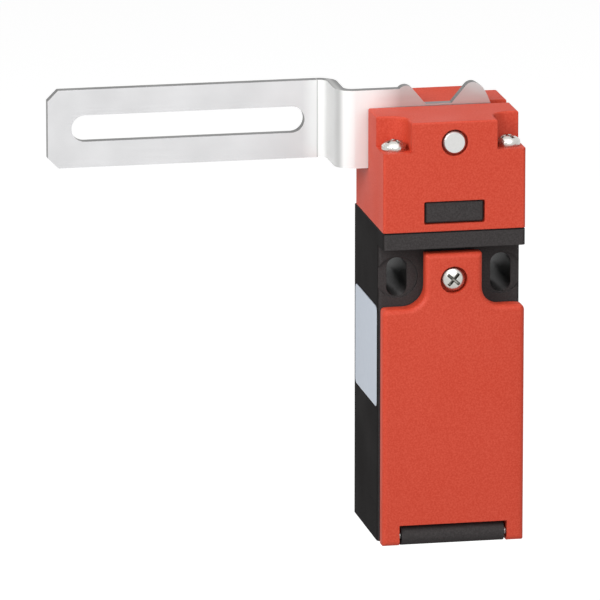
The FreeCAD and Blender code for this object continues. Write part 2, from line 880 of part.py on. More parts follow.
def terminal_centres():
    levels = [pad_low(upper) + terminal_height / 2 for upper in (True, False)]
    return [(x, z) for x in (-terminal_x, terminal_x) for z in levels]


def terminal_clamps():
    y1 = terminal_y - strip
    y0 = y1 - clamp_thickness
    half = terminal_width / 2 - clamp_margin
    clamps = []
    for x, z in terminal_centres():
        clamp = plate_y(rectangle(x - half, x + half, z - half, z + half, clamp_corner), y0, y1)
        clamps.append(clamp.cut(rod_y(m3_radius + shaft_gap, y0, y1, x, z)))
    return Part.makeCompound(clamps)


def terminal_screws():
    y1 = terminal_y - strip - clamp_thickness
    y0 = y1 - terminal_head_height
    screws = []
    for x, z in terminal_centres():
        head = rod_y(m3_head_radius, y0, y1, x, z)
        head = head.makeChamfer(terminal_head_chamfer, rims_at_y(head, y0))
        screws.append(fuse([head, rod_y(m3_radius, y1, y1 + terminal_screw_length, x, z)]))
    return Part.makeCompound(screws)


def block_screws():
    y0 = block_y + screw_end_gap
    y1 = block_y + block_screw_sink
    head = rod_y(block_screw_head, y0, y1, block_screw_x, block_screw_z)
    end = -skin - screw_end_gap
    shank = rod_y(m3_radius - shaft_gap, y1, end, block_screw_x, block_screw_z)
    return pair(fuse([head, shank]))


def side_label():
    return plate_x(label_outline(0), -side, -side + label_thickness)


# Export
parts = {
    "housing_floor": housing_floor,
    "housing_body": housing_body,
    "front_cover": front_cover,
    "cover_seal": cover_seal,
    "cover_screw": cover_screw,
    "cover_hinge_pin": cover_hinge_pin,
    "head_housing": head_housing,
    "head_seal": head_seal,
    "head_screws": head_screws,
    "head_plug": head_plug,
    "operating_lever": operating_lever,
    "pivot_pin": pivot_pin,
    "cam_plunger": cam_plunger,
    "plunger_seal": plunger_seal,
    "contact_carrier": contact_carrier,
    "nc_bridge": nc_bridge,
    "no_bridge": no_bridge,
    "nc_bridge_spring": nc_bridge_spring,
    "no_bridge_spring": no_bridge_spring,
    "return_spring": return_spring,
    "contact_block": contact_block,
    "nc_contacts": nc_contacts,
    "no_contacts": no_contacts,
    "terminal_clamps": terminal_clamps,
    "terminal_screws": terminal_screws,
    "block_screws": block_screws,
    "side_label": side_label,
}

os.makedirs("parts", exist_ok=True)
for name, make in parts.items():
    make().exportStep("parts/" + name + ".step")
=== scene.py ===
import json
import math

import bmesh
import bpy
import numpy as np
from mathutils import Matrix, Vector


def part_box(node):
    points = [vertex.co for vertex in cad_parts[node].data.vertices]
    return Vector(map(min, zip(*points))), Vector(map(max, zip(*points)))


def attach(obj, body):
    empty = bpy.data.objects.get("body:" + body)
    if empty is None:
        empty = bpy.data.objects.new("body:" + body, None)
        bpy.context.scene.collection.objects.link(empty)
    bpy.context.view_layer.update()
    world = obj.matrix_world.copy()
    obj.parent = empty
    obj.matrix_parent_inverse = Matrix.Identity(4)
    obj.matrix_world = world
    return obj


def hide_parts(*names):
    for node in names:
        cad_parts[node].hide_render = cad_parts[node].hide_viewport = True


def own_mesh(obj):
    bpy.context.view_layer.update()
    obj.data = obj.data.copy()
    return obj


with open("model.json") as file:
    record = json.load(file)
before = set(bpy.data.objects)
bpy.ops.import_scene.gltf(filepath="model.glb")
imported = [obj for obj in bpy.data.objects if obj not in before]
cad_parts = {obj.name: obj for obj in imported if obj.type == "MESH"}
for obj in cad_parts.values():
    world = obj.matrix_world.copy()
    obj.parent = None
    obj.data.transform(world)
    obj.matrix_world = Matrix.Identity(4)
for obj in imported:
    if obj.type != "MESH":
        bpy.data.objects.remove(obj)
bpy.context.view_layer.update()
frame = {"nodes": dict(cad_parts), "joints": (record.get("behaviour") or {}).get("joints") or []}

nodes = frame["nodes"]
joints = {joint["name"]: joint for joint in frame["joints"]}
mm = 0.001
white = (1, 1, 1, 1)
print("frame loaded:", len(nodes), "nodes")


# Small helpers

colorA = 6       # colour sockets of a Mix node
colorB = 7
colorOut = 2


def toLinear(hexColor):  # sRGB hex to linear rgba, by the standard's own curve
    values = np.array([int(hexColor[i:i + 2], 16) for i in (1, 3, 5)]) / 255
    linear = np.where(values <= 0.04045, values / 12.92, ((values + 0.055) / 1.055) ** 2.4)
    return (*linear.tolist(), 1.0)


def addNode(tree, kind, inputs=None, **settings):  # inputs: socket -> value or output socket
    node = tree.nodes.new(kind)
    for key, value in settings.items():
        setattr(node, key, value)
    for key, value in (inputs or {}).items():
        if isinstance(value, bpy.types.NodeSocket):
            tree.links.new(value, node.inputs[key])
        else:
            node.inputs[key].default_value = value
    return node


def newMaterial(name):
    material = bpy.data.materials.new(name)
    material.use_nodes = True
    material.node_tree.nodes.clear()
    return material, material.node_tree


def finishMaterial(tree, shader):
    addNode(tree, "ShaderNodeOutputMaterial", {"Surface": shader.outputs[0]})


def paint(material, *names):
    for name in names:
        nodes[name].data.materials.clear()
        nodes[name].data.materials.append(material)


def newObject(name, data):
    thing = bpy.data.objects.new(name, data)
    bpy.context.scene.collection.objects.link(thing)
    return thing


def newMesh(name, verts, faces):  # faces turned outwards
    mesh = bpy.data.meshes.new(name)
    mesh.from_pydata(verts.tolist(), [], faces)
    work = bmesh.new()
    work.from_mesh(mesh)
    bmesh.ops.recalc_face_normals(work, faces=work.faces)
    work.to_mesh(mesh)
    work.free()
    return mesh


# Closed mesh from points[row, column]: columns run round and join up, and each end row closes on its
# own mean point
def closedGrid(points):
    rows, cols = points.shape[:2]
    index = np.arange(rows * cols).reshape(rows, cols)
    beside = np.roll(index, -1, axis=1)
    quads = np.stack([index[:-1], beside[:-1], beside[1:], index[1:]], axis=-1).reshape(-1, 4)
    first = np.full(cols, rows * cols)
    startCap = np.stack([first, beside[0], index[0]], axis=-1)
    endCap = np.stack([first + 1, index[-1], beside[-1]], axis=-1)
    ends = np.stack([points[0].mean(axis=0), points[-1].mean(axis=0)])
    verts = np.concatenate([points.reshape(-1, 3), ends])
    return verts, quads.tolist() + startCap.tolist() + endCap.tolist()


# Ring of four-cornered section: two flat loops, each at two levels of the axis across them.
# Points of the loops and corners of the section both join up
def bandGrid(outer, inner, low, high, axis):
    corners = ((outer, low), (outer, high), (inner, high), (inner, low))
    points = np.stack([np.insert(loop, axis, level, axis=1) for loop, level in corners], axis=1)
    index = np.arange(points.shape[0] * points.shape[1]).reshape(points.shape[:2])
    beside = np.roll(index, -1, axis=1)
    after = np.roll(index, -1, axis=0)
    quads = np.stack([index, beside, np.roll(after, -1, axis=1), after], axis=-1).reshape(-1, 4)
    return points.reshape(-1, 3), quads.tolist()


# Loop with right-angled corners, rounded: corner + radius * (back * (1 - sin) + on * (1 - cos)),
# where back and on point along the two sides
def roundedLoop(corners, radii, count):
    corners = np.array(corners, float)
    back = np.roll(corners, 1, axis=0) - corners
    back /= np.linalg.norm(back, axis=1, keepdims=True)
    on = -np.roll(back, -1, axis=0)
    sweep = np.linspace(0, np.pi / 2, count)[None, :, None]
    bend = back[:, None] * (1 - np.sin(sweep)) + on[:, None] * (1 - np.cos(sweep))
    return (corners[:, None] + np.array(radii)[:, None, None] * bend).reshape(-1, 2)


sharpDeg = 35       # smooth shading breaks where faces meet at more than this


# stands is the CAD node that the piece stands for. The drive recess depth, where given, says how deep in a
# drive recess each point lies, from 0 to 1, and so how much painted shade darkens it there; the last two
# points are the head's middle and the tip
def addPiece(name, grid, material, body, stands=None, recess=None, smooth=True):
    mesh = newMesh(name, *grid)
    mesh.polygons.foreach_set("use_smooth", np.full(len(mesh.polygons), smooth))
    mesh.set_sharp_from_angle(angle=math.radians(sharpDeg))
    if recess is not None:
        depth = mesh.attributes.new("recess", "FLOAT", "POINT")
        depth.data.foreach_set("value", np.append(recess.ravel(), (1.0, 0.0)))
    mesh.materials.append(material)
    piece = newObject(name, mesh)
    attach(piece, body)
    if stands:
        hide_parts(stands)
    return piece


# Materials

# The mould's face was spark eroded, so light scatters in the pits: roughness is high and shine low.
# The side share is the part of the colour kept on the left and right side walls: painted shade, which makes
# the sides darker than the front
plastics = {
    "redPolyester": {
        "color": "#c4391f", "pale": "#cf4b33", "sideShade": 1.0,
        "roughness": 0.6, "shine": 0.42, "pitMm": 0.06},
    "blackPolyester": {
        "color": "#3b3838", "pale": "#454242", "sideShade": 0.25,
        "roughness": 0.8, "shine": 0.045, "pitMm": 0.06},
    "ivoryMelamine": {
        "color": "#d8cfba", "pale": "#e0d8c6", "sideShade": 0.95,
        "roughness": 0.4, "shine": 0.5, "pitMm": 0.02},
    "naturalAcetal": {
        "color": "#e6e2d6", "pale": "#efece2", "sideShade": 0.97,
        "roughness": 0.35, "shine": 0.5, "pitMm": 0.015},
    "orangeNylon": {
        "color": "#d6492a", "pale": "#dd5a3c", "sideShade": 0.9,
        "roughness": 0.45, "shine": 0.4, "pitMm": 0.03},
}
plasticGrain = {
    "ior": 1.5,
    "pitsMm": 0.3,        # pits of the eroded mould face, drawn coarser than real so that they show
    "pitStrength": 0.4,
    "fleckMm": 0.34,      # glass fibre just under the skin, drawn coarser than real so that it shows
    "fleckFrom": 0.35,    # noise levels between which the colour turns pale
    "fleckTo": 0.7,
    "flowMm": 14.0,       # slow change of gloss from the flow in the mould
    "flowFrom": 0.3,
    "flowTo": 0.7,
    "flowDown": 0.05,     # and how far the roughness goes either way
    "flowUp": 0.06,
    # the painted side shade fades in between these two sideways leans
    "wallFrom": 0.5,      # sideways lean at which a face begins to be a side wall
    "wallTo": 0.95,
    "edgeMm": 0.22,       # edges of the moulding are this round to the light
}
fixingSlots = {
    "xMm": 11.0,
    "halfWideMm": 2.4,
    "halfHighMm": 4.4,
    "wallLean": 0.5,      # a slot's wall leans less than this to the front or the rear
    "roughness": 0.36,
}


# 1 on the walls of the two fixing slots, which polished core pins leave glossier than the rest
def slotWalls(tree, place, lean):
    look = fixingSlots
    at = addNode(tree, "ShaderNodeSeparateXYZ", {"Vector": place}).outputs
    fromMiddle = addNode(tree, "ShaderNodeMath", {0: at["X"]}, operation="ABSOLUTE").outputs[0]
    limits = (
        (fromMiddle, look["xMm"] * mm, look["halfWideMm"] * mm),
        (at["Z"], 0.0, look["halfHighMm"] * mm),
        (lean.outputs["Y"], 0.0, look["wallLean"]),
    )
    wall = 1.0
    for value, middle, reach in limits:
        near = addNode(tree, "ShaderNodeMath", {0: value, 1: middle, 2: reach}, operation="COMPARE")
        wall = addNode(tree, "ShaderNodeMath", {0: near.outputs[0], 1: wall}, operation="MULTIPLY").outputs[0]
    return wall


# Glass-filled plastic moulded against an eroded tool face: matt, with fine pits and a faint fleck
def mouldedPlastic(name):
    look = plastics[name]
    grain = plasticGrain
    material, tree = newMaterial(name + "Moulded")
    coords = addNode(tree, "ShaderNodeTexCoord").outputs
    place = coords["Object"]
    pits = addNode(tree, "ShaderNodeTexNoise", {
        "Vector": place, "Scale": 1 / (grain["pitsMm"] * mm), "Detail": 3.0, "Roughness": 0.6})
    fleck = addNode(tree, "ShaderNodeTexNoise", {
        "Vector": place, "Scale": 1 / (grain["fleckMm"] * mm), "Detail": 2.0})
    flow = addNode(tree, "ShaderNodeTexNoise", {
        "Vector": place, "Scale": 1 / (grain["flowMm"] * mm), "Detail": 2.0})
    tint = addNode(tree, "ShaderNodeValToRGB", {"Fac": fleck.outputs["Fac"]})
    body, pale = tint.color_ramp.elements
    body.position = grain["fleckFrom"]
    body.color = toLinear(look["color"])
    pale.position = grain["fleckTo"]
    pale.color = toLinear(look["pale"])
    lean = addNode(tree, "ShaderNodeSeparateXYZ", {"Vector": coords["Normal"]})
    sideways = addNode(tree, "ShaderNodeMath", {0: lean.outputs["X"]}, operation="ABSOLUTE")
    # painted shade: left and right side walls keep only the material's side share of the colour
    wall = addNode(tree, "ShaderNodeMapRange", {
        "Value": sideways.outputs[0], "From Min": grain["wallFrom"], "From Max": grain["wallTo"],
        "To Min": 1.0, "To Max": look["sideShade"]})
    color = addNode(tree, "ShaderNodeVectorMath", {
        0: tint.outputs["Color"], "Scale": wall.outputs["Result"]}, operation="SCALE")
    gloss = addNode(tree, "ShaderNodeMapRange", {
        "Value": flow.outputs["Fac"], "From Min": grain["flowFrom"], "From Max": grain["flowTo"],
        "To Min": look["roughness"] - grain["flowDown"], "To Max": look["roughness"] + grain["flowUp"]})
    rough = gloss.outputs["Result"]
    if name == "blackPolyester":
        polished = slotWalls(tree, place, lean)
        rough = addNode(tree, "ShaderNodeMix", {
            "Factor": polished, "A": rough, "B": fixingSlots["roughness"]}).outputs["Result"]
    softEdge = addNode(tree, "ShaderNodeBevel", {"Radius": grain["edgeMm"] * mm}, samples=4)
    bump = addNode(tree, "ShaderNodeBump", {
        "Height": pits.outputs["Fac"], "Strength": grain["pitStrength"], "Distance": look["pitMm"] * mm,
        "Normal": softEdge.outputs["Normal"]})
    shader = addNode(tree, "ShaderNodeBsdfPrincipled", {
        "Base Color": color.outputs["Vector"], "Roughness": rough, "Normal": bump.outputs["Normal"],
        "IOR": grain["ior"], "Specular IOR Level": look["shine"]})
    finishMaterial(tree, shader)
    return material


steelLook = {
    "face": "#e1e1e2",
    "faceDull": "#cacacb",
    # painted highlight: the paler colour of the folded crank
    "paintedPressHighlight": "#eeeeed",
    "pressRough": 0.08,   # added to the roughness there
    "pressFrost": 0.6,    # share of the light that the blasted tool's print scatters there
    "hub": "#c2c2c1",
    "sheared": "#7c7c7b",
    "shearedDark": "#5c5c5b",
    "lineMm": 0.12,       # rolling lines, drawn coarser than real so that they show
    "streakMm": 16.0,     # and how long each one runs
    "lineFrom": 0.3,      # noise levels between which the roughness changes
    "lineTo": 0.7,
    "roughLow": 0.30,
    "roughHigh": 0.42,
    "lineStrength": 0.12,
    "lineDeepMm": 0.01,
    "cloudMm": 9.0,       # uneven plating
    "edgeTilt": 0.35,     # how far a face has to lean to be a cut edge
    "edgeSoft": 0.2,
    "barStartMm": -25.0,  # left of this the strip lies flat, so a face that leans sideways is cut too
    "pressStartMm": -26.5,
    "pressFadeMm": 4.0,
    "pressEndMm": -8.0,
    "hubFadeMm": 6.0,
    "barLineMm": -23.3,   # grey line across the strip where the bar begins
    "barLineWideMm": 0.1,
    "barLineGrey": "#b4b4b3",
    "foldMm": -20.9,      # outside of the second fold, where a grey band is painted shade
    "foldWideMm": 1.1,
    "foldShadeShare": 0.75,
    "foldShadeGrey": "#b2b2b1",
}


# Cold-rolled steel strip, stamped and bright zinc plated: satin faces with faint rolling lines along the
# strip, a painted highlight, pale, on the crank that the press folded, painted shade on the outside of the
# second fold, dull grey where it sheared
def rolledSteel(name):
    look = steelLook
    material, tree = newMaterial(name)
    coords = addNode(tree, "ShaderNodeTexCoord").outputs
    place = coords["Object"]
    across = 1 / (look["lineMm"] * mm)
    along = 1 / (look["streakMm"] * mm)
    stretch = addNode(tree, "ShaderNodeMapping", {"Vector": place, "Scale": (along, along, across)})
    lines = addNode(tree, "ShaderNodeTexNoise", {
        "Vector": stretch.outputs["Vector"], "Scale": 1.0, "Detail": 3.0})
    cloud = addNode(tree, "ShaderNodeTexNoise", {
        "Vector": place, "Scale": 1 / (look["cloudMm"] * mm), "Detail": 2.0})
    where = addNode(tree, "ShaderNodeSeparateXYZ", {"Vector": place}).outputs["X"]
    lean = addNode(tree, "ShaderNodeSeparateXYZ", {"Vector": coords["Normal"]}).outputs

    # Cut edges
    upDown = addNode(tree, "ShaderNodeMath", {0: lean["Z"]}, operation="ABSOLUTE")
    sideways = addNode(tree, "ShaderNodeMath", {0: lean["X"]}, operation="ABSOLUTE")
    onBar = addNode(tree, "ShaderNodeMath", {0: where, 1: look["barStartMm"] * mm}, operation="LESS_THAN")
    barSide = addNode(tree, "ShaderNodeMath", {
        0: sideways.outputs[0], 1: onBar.outputs[0]}, operation="MULTIPLY")
    tilt = addNode(tree, "ShaderNodeMath", {
        0: upDown.outputs[0], 1: barSide.outputs[0]}, operation="MAXIMUM")
    edge = addNode(tree, "ShaderNodeMapRange", {
        "Value": tilt.outputs[0], "From Min": look["edgeTilt"],
        "From Max": look["edgeTilt"] + look["edgeSoft"]})

    # Stretch that the press folded, between the bar and the hub: it gets a painted highlight in its colour,
    # and a rougher, less metallic finish
    pressStart = look["pressStartMm"] * mm
    pressEnd = look["pressEndMm"] * mm
    hubFade = look["hubFadeMm"] * mm
    folded = addNode(tree, "ShaderNodeMapRange", {
        "Value": where, "From Min": pressStart, "From Max": pressStart + look["pressFadeMm"] * mm})
    beforeHub = addNode(tree, "ShaderNodeMapRange", {
        "Value": where, "From Min": pressEnd - hubFade, "From Max": pressEnd, "To Min": 1.0, "To Max": 0.0})
    pressAndHighlight = addNode(tree, "ShaderNodeMath", {
        0: folded.outputs["Result"], 1: beforeHub.outputs["Result"]}, operation="MULTIPLY")
    onHub = addNode(tree, "ShaderNodeMapRange", {
        "Value": where, "From Min": pressEnd - hubFade, "From Max": pressEnd})

    # Colours
    plate = addNode(tree, "ShaderNodeMix", {
        "Factor": cloud.outputs["Fac"], colorA: toLinear(look["face"]), colorB: toLinear(look["faceDull"])},
        data_type="RGBA")
    worn = addNode(tree, "ShaderNodeMix", {
        "Factor": onHub.outputs["Result"], colorA: plate.outputs[colorOut], colorB: toLinear(look["hub"])},
        data_type="RGBA")
    # painted highlight on the folded crank
    face = addNode(tree, "ShaderNodeMix", {
        "Factor": pressAndHighlight.outputs[0], colorA: worn.outputs[colorOut], colorB: toLinear(look["paintedPressHighlight"])},
        data_type="RGBA")
    cutEdge = addNode(tree, "ShaderNodeMix", {
        "Factor": lines.outputs["Fac"], colorA: toLinear(look["sheared"]),
        colorB: toLinear(look["shearedDark"])}, data_type="RGBA")
    color = addNode(tree, "ShaderNodeMix", {
        "Factor": edge.outputs["Result"], colorA: face.outputs[colorOut], colorB: cutEdge.outputs[colorOut]},
        data_type="RGBA")
    barLine = addNode(tree, "ShaderNodeMath", {
        0: where, 1: look["barLineMm"] * mm, 2: look["barLineWideMm"] * mm}, operation="COMPARE")
    withBarLine = addNode(tree, "ShaderNodeMix", {
        "Factor": barLine.outputs[0], colorA: color.outputs[colorOut], colorB: toLinear(look["barLineGrey"])},
        data_type="RGBA")
    # painted shade: a grey band over the outside of the second fold
    fromFold = addNode(tree, "ShaderNodeMath", {0: where, 1: look["foldMm"] * mm}, operation="SUBTRACT")
    aside = addNode(tree, "ShaderNodeMath", {0: fromFold.outputs[0]}, operation="ABSOLUTE")
    foldShade = addNode(tree, "ShaderNodeMapRange", {
        "Value": aside.outputs[0], "From Min": 0.0, "From Max": look["foldWideMm"] * mm,
        "To Min": look["foldShadeShare"], "To Max": 0.0}, interpolation_type="SMOOTHSTEP")
    foldShaded = addNode(tree, "ShaderNodeMix", {
        "Factor": foldShade.outputs["Result"], colorA: withBarLine.outputs[colorOut],
        colorB: toLinear(look["foldShadeGrey"])}, data_type="RGBA")

    # Gloss and rolling lines
    fine = addNode(tree, "ShaderNodeMapRange", {
        "Value": lines.outputs["Fac"], "From Min": look["lineFrom"], "From Max": look["lineTo"],
        "To Min": look["roughLow"], "To Max": look["roughHigh"]})
    roughness = addNode(tree, "ShaderNodeMath", {
        0: pressAndHighlight.outputs[0], 1: look["pressRough"], 2: fine.outputs["Result"]}, operation="MULTIPLY_ADD")
    bump = addNode(tree, "ShaderNodeBump", {
        "Height": lines.outputs["Fac"], "Strength": look["lineStrength"],
        "Distance": look["lineDeepMm"] * mm})
    mirror = addNode(tree, "ShaderNodeMapRange", {
        "Value": pressAndHighlight.outputs[0], "To Min": 1.0, "To Max": 1.0 - look["pressFrost"]})
    shader = addNode(tree, "ShaderNodeBsdfPrincipled", {
        "Base Color": foldShaded.outputs[colorOut], "Metallic": mirror.outputs["Result"],
        "Roughness": roughness.outputs[0], "Normal": bump.outputs["Normal"]})
    finishMaterial(tree, shader)
    return material


metals = {
    "zincPlatedSteelTurned": {"color": "#d8d7d2", "dull": "#bebdb8", "roughness": 0.24, "mottleMm": 0.8},
    "stainlessSteelGround": {"color": "#d8d8d6", "dull": "#cacac8", "roughness": 0.36, "mottleMm": 0.5},
    "springSteelDrawn": {"color": "#b4b4b2", "dull": "#9c9c9a", "roughness": 0.3, "mottleMm": 0.3},
    "brassStamped": {"color": "#cfa75a", "dull": "#bb9348", "roughness": 0.3, "mottleMm": 0.7},
}
metalGrain = {
    # painted shade: the colour a screw's drive recess is darkened to
    "recess": "#696762",
    "mottleFrom": 0.3,    # noise levels between which the roughness changes
    "mottleTo": 0.7,
    "glossDown": 0.05,    # and how far it goes either way
    "glossUp": 0.08,
    "strength": 0.1,
    "deepMm": 0.01,
}


# Metal with a fine mottle: plated screws, ground pins, drawn wire, stamped contacts. The drive recess of a
# screw has painted shade: its colour is darkened, standing in for the shade where light hardly comes out
def finishedMetal(name):
    look = metals[name]
    grain = metalGrain
    material, tree = newMaterial(name)
    place = addNode(tree, "ShaderNodeTexCoord").outputs["Object"]
    mottle = addNode(tree, "ShaderNodeTexNoise", {
        "Vector": place, "Scale": 1 / (look["mottleMm"] * mm), "Detail": 3.0}).outputs["Fac"]
    # painted shade in the drive recess, deeper points darker
    recess = addNode(tree, "ShaderNodeAttribute", attribute_name="recess")
    tint = addNode(tree, "ShaderNodeMix", {
        "Factor": mottle, colorA: toLinear(look["color"]), colorB: toLinear(look["dull"])}, data_type="RGBA")
    shaded = addNode(tree, "ShaderNodeMix", {
        "Factor": recess.outputs["Fac"], colorA: tint.outputs[colorOut], colorB: toLinear(grain["recess"])},
        data_type="RGBA")
    gloss = addNode(tree, "ShaderNodeMapRange", {
        "Value": mottle, "From Min": grain["mottleFrom"], "From Max": grain["mottleTo"],
        "To Min": look["roughness"] - grain["glossDown"], "To Max": look["roughness"] + grain["glossUp"]})
    bump = addNode(tree, "ShaderNodeBump", {
        "Height": mottle, "Strength": grain["strength"], "Distance": grain["deepMm"] * mm})
    shader = addNode(tree, "ShaderNodeBsdfPrincipled", {
        "Base Color": shaded.outputs[colorOut], "Metallic": 1.0, "Roughness": gloss.outputs["Result"],
        "Normal": bump.outputs["Normal"]})
    finishMaterial(tree, shader)
    return material


rubberLook = {
    "color": "#191818",
    "powder": "#242323",
    "skinMm": 0.4,
    "roughness": 0.75,
    "shine": 0.15,
    "strength": 0.2,
    "deepMm": 0.02,
}


# Moulded nitrile rubber: dark, dull, with a powdery skin
def sealRubber(name):
    look = rubberLook
    material, tree = newMaterial(name)
    place = addNode(tree, "ShaderNodeTexCoord").outputs["Object"]
    skin = addNode(tree, "ShaderNodeTexNoise", {
        "Vector": place, "Scale": 1 / (look["skinMm"] * mm), "Detail": 3.0}).outputs["Fac"]
    tint = addNode(tree, "ShaderNodeMix", {
        "Factor": skin, colorA: toLinear(look["color"]), colorB: toLinear(look["powder"])}, data_type="RGBA")
    bump = addNode(tree, "ShaderNodeBump", {
        "Height": skin, "Strength": look["strength"], "Distance": look["deepMm"] * mm})
    shader = addNode(tree, "ShaderNodeBsdfPrincipled", {
        "Base Color": tint.outputs[colorOut], "Roughness": look["roughness"],
        "Specular IOR Level": look["shine"], "Normal": bump.outputs["Normal"]})
    finishMaterial(tree, shader)
    return material


filmLook = {
    "color": "#c3ccd8",
    "shade": "#b9c3d1",
    "peelMm": 1.2,
    "roughness": 0.42,
    "strength": 0.1,
    "deepMm": 0.02,
}


# Coated polyester label film: pale blue-grey, half matt, with a slight orange peel
def labelFilm(name):
    look = filmLook
    material, tree = newMaterial(name)
    place = addNode(tree, "ShaderNodeTexCoord").outputs["Object"]
    peel = addNode(tree, "ShaderNodeTexNoise", {
        "Vector": place, "Scale": 1 / (look["peelMm"] * mm), "Detail": 2.0}).outputs["Fac"]
    tint = addNode(tree, "ShaderNodeMix", {
        "Factor": peel, colorA: toLinear(look["color"]), colorB: toLinear(look["shade"])}, data_type="RGBA")
    bump = addNode(tree, "ShaderNodeBump", {
        "Height": peel, "Strength": look["strength"], "Distance": look["deepMm"] * mm})
    shader = addNode(tree, "ShaderNodeBsdfPrincipled", {
        "Base Color": tint.outputs[colorOut], "Roughness": look["roughness"],
        "Normal": bump.outputs["Normal"]})
    finishMaterial(tree, shader)
    return material


redPolyester = mouldedPlastic("redPolyester")
blackPolyester = mouldedPlastic("blackPolyester")
ivoryMelamine = mouldedPlastic("ivoryMelamine")
naturalAcetal = mouldedPlastic("naturalAcetal")
orangeNylon = mouldedPlastic("orangeNylon")
leverSteel = rolledSteel("zincPlatedSteelStamped")
zincSteel = finishedMetal("zincPlatedSteelTurned")
pinSteel = finishedMetal("stainlessSteelGround")
springSteel = finishedMetal("springSteelDrawn")
contactBrass = finishedMetal("brassStamped")
blackRubber = sealRubber("nitrileRubberMoulded")
paleFilm = labelFilm("polyesterLabelFilm")

paint(redPolyester, "front_cover", "head_housing")
paint(blackPolyester, "housing_body", "housing_floor", "head_plug")
paint(ivoryMelamine, "contact_block")
paint(naturalAcetal, "cam_plunger")
paint(orangeNylon, "contact_carrier")
paint(leverSteel, "operating_lever")
paint(pinSteel, "pivot_pin", "cover_hinge_pin")
paint(contactBrass, "nc_bridge", "no_bridge", "nc_contacts", "no_contacts")
paint(zincSteel, "terminal_clamps", "head_screws", "cover_screw", "terminal_screws", "block_screws")
paint(springSteel, "nc_bridge_spring", "no_bridge_spring", "return_spring")
paint(blackRubber, "cover_seal", "head_seal", "plunger_seal")
paint(paleFilm, "side_label")
print("materials done")


# Screws

crossScrew = {
    "columns": 112,
    "headRows": 44,
    "firstShare": 0.02,   # first and last rows of the dome, shares of the head's radius
    "lastShare": 0.985,
    "domePower": 2.6,     # higher is flatter on top
    "rimShares": (1.0, 1.0, 0.985, 0.9),       # radius and height down the head's edge and under it
    "rimHeights": (0.86, 0.12, 0.0, 0.0),
    "armHalf": 0.13,      # share of the head's radius
    "armReach": 0.68,
    "recessDeep": 0.5,    # at the middle, share of the radius
    "recessEnd": 0.22,    # at the arms' ends
    "wallMm": 0.09,       # width of the recess wall in plan
    "pitchMm": 0.5,
    "threadMm": 0.28,
    "perPitch": 5,        # rows to one turn of the thread
    "tipTaper": 0.4,      # share of the thread's depth that the tip is thinner by
}


# Head: height over radius is a dome, less a cross of two bars whose floor rises outwards.
# Shank: radius is the thread's crest less a triangle wave of (height / pitch - angle).
def screwGrid(look, shankLength, turn):
    s = crossScrew
    headRadius = look["radiusMm"] * mm
    rimHeight = look["rimMm"] * mm
    domeHeight = look["heightMm"] * mm - rimHeight
    angle = np.linspace(0, 2 * np.pi, s["columns"], endpoint=False)[None, :]
    share = np.linspace(s["firstShare"], s["lastShare"], s["headRows"])[:, None]
    radius = share * headRadius
    dome = rimHeight + domeHeight * (1 - share ** s["domePower"])
    u = radius * np.cos(angle - turn)
    v = radius * np.sin(angle - turn)
    half = s["armHalf"] * headRadius
    reach = s["armReach"] * headRadius
    wall = s["wallMm"] * mm
    barU = np.clip((half - np.abs(v)) / wall, 0, 1) * np.clip((reach - np.abs(u)) / wall, 0, 1)
    barV = np.clip((half - np.abs(u)) / wall, 0, 1) * np.clip((reach - np.abs(v)) / wall, 0, 1)
    floor = s["recessDeep"] + (s["recessEnd"] - s["recessDeep"]) * np.clip(radius / reach, 0, 1)
    inside = np.maximum(barU, barV)
    headZ = dome - inside * floor * headRadius
    headR = radius + 0 * angle
    rimR = np.array(s["rimShares"])[:, None] * headRadius + 0 * angle
    rimZ = np.array(s["rimHeights"])[:, None] * rimHeight + 0 * angle
    pitch = s["pitchMm"] * mm
    depth = s["threadMm"] * mm
    drop = np.linspace(0, shankLength, int(shankLength / pitch * s["perPitch"]) + 2)[:, None]
    wave = np.abs(((drop / pitch - angle / (2 * np.pi)) % 1) - 0.5) * 2
    fade = np.clip(drop / pitch, 0, 1) * np.clip((shankLength - drop) / pitch, 0, 1)
    tip = s["tipTaper"] * depth * (drop > shankLength - pitch / 2)
    shankR = look["shankMm"] * mm - depth * wave * fade - tip
    shankZ = -drop + 0 * angle
    allR = np.concatenate([headR, rimR, shankR])
    allZ = np.concatenate([headZ, rimZ, shankZ])
    # how deep each point lies in the drive recess, for its painted shade
    recess = np.concatenate([inside, 0 * rimR, 0 * shankR])
    return allR * np.cos(angle), allR * np.sin(angle), allZ, recess


# x, y, z is the middle of the seat under the head, which faces up or to the front, -Y
def addScrew(name, look, body, x, y, z, length, turn):
    a, b, height, recess = screwGrid(look, length, turn)
    if look["faces"] == "up":
        points = np.stack([x + a, y + b, z + height], axis=-1)
    else:
        points = np.stack([x + a, y - height, z + b], axis=-1)
    addPiece(name, closedGrid(points), zincSteel, body, look["node"], recess)


# seatMm is from the top of the node's box down to the seat, insetMm from the box's sides in to the axis
headScrew = {
    "node": "head_screws", "faces": "up", "radiusMm": 2.58, "heightMm": 2.15, "rimMm": 1.05,
    "shankMm": 1.45, "seatMm": 2.2, "insetMm": 2.6, "turn": 0.5}
low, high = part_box("head_screws")
seat = high.z - headScrew["seatMm"] * mm
inset = headScrew["insetMm"] * mm
for side, x in (("left", low.x + inset), ("right", high.x - inset)):
    addScrew("head_screw_" + side, headScrew, "case", x, (low.y + high.y) / 2, seat, seat - low.z,
             headScrew["turn"])

coverScrew = {
    "node": "cover_screw", "faces": "front", "radiusMm": 2.38, "heightMm": 1.98, "rimMm": 1.45,
    "shankMm": 1.7, "seatMm": 2.0, "turn": 0.85}
low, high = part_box("cover_screw")
seat = low.y + coverScrew["seatMm"] * mm
addScrew("cover_screw_cross", coverScrew, "cover", 0, seat, (low.z + high.z) / 2, high.y - seat,
         coverScrew["turn"])

